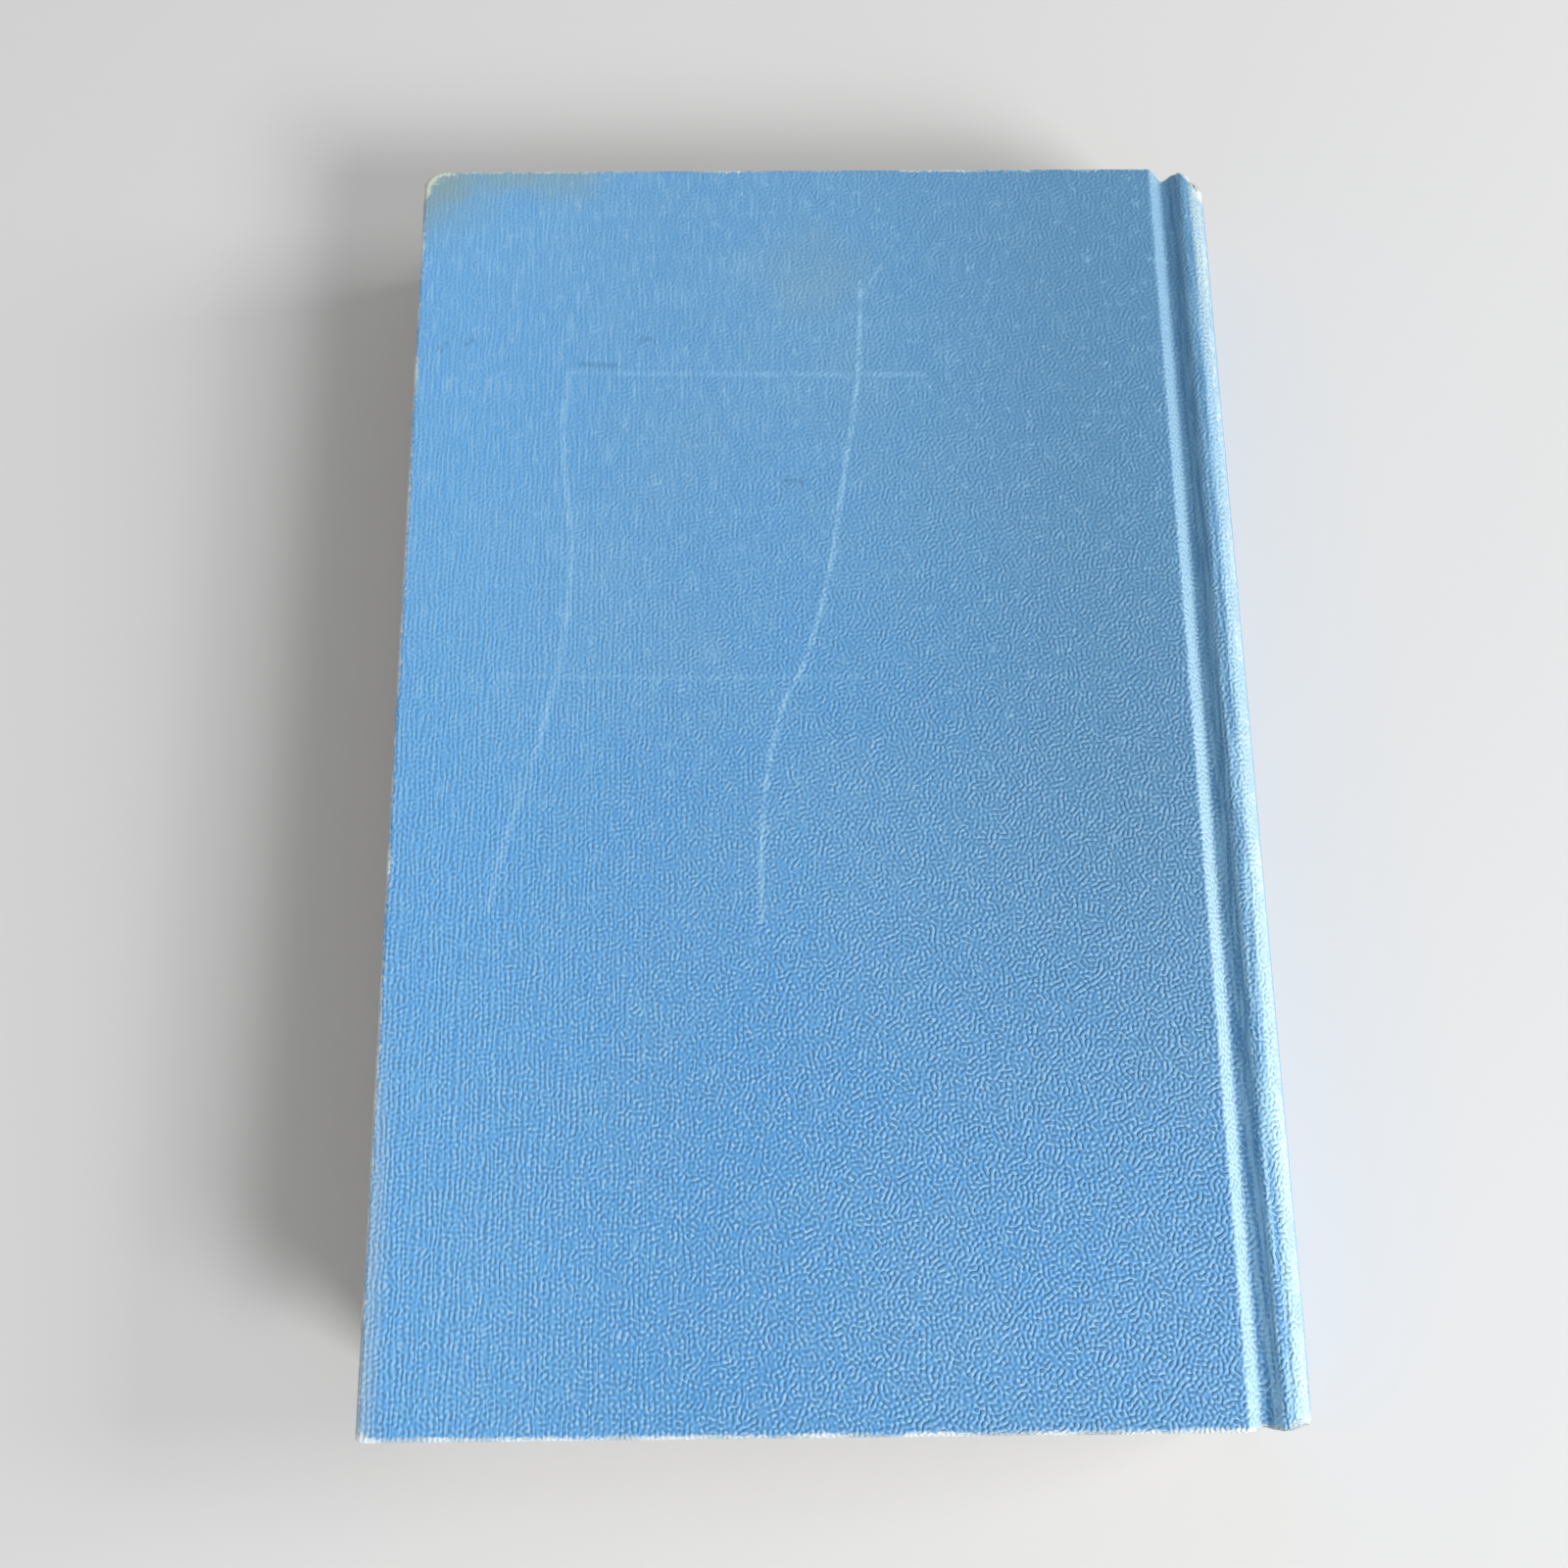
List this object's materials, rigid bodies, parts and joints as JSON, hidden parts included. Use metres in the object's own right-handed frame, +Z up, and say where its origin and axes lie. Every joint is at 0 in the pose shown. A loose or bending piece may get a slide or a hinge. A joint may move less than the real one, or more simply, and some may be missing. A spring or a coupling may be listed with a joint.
{
  "type": "hardback book",
  "caption": "Closed hardback book bound in blue cloth, with a rounded spine, grooved joints, worn edges and covers that open.",
  "frame": {"origin": "centre of the bounding box at the height of the surface that the front cover lies on", "axes": "+X from the fore-edge towards the spine, +Y from the tail towards the head, +Z up through the thickness from the front cover to the back cover"},
  "size_m": [0.1488, 0.222, 0.0288],
  "materials": {
    "cloth": "embossed book cloth, faded and rubbed",
    "board": "grey-brown pasteboard",
    "card": "thin card",
    "leaves": "cut edges of book paper",
    "endpaper": "plain uncoated paper",
    "lining": "brown paper",
    "gauze": "stiffened open gauze",
    "thread": "linen thread",
    "band": "woven tape with a bead"
  },
  "bodies": {
    "text_block": {"page_block": "leaves", "front_flyleaf": "endpaper", "back_flyleaf": "endpaper", "sewing_thread": "thread", "spine_mull": "gauze", "spine_lining_paper": "lining", "head_band": "band", "tail_band": "band", "spine_inlay": "card", "spine_cloth": "cloth"},
    "front_cover": {"front_board": "board", "front_cover_cloth": "cloth", "front_pastedown": "endpaper", "front_mull_flange": "gauze"},
    "back_cover": {"back_board": "board", "back_cover_cloth": "cloth", "back_pastedown": "endpaper", "back_mull_flange": "gauze"}
  },
  "joints": [
    {"name": "front_cover_hinge", "type": "hinge", "parent": "text_block", "child": "front_cover", "pos_m": [0.0674, 0, 0.0002], "axis": [0, -1, 0], "range_deg": [0, 180]},
    {"name": "back_cover_hinge", "type": "hinge", "parent": "text_block", "child": "back_cover", "pos_m": [0.0674, 0, 0.0286], "axis": [0, 1, 0], "range_deg": [0, 180]}
  ]
}
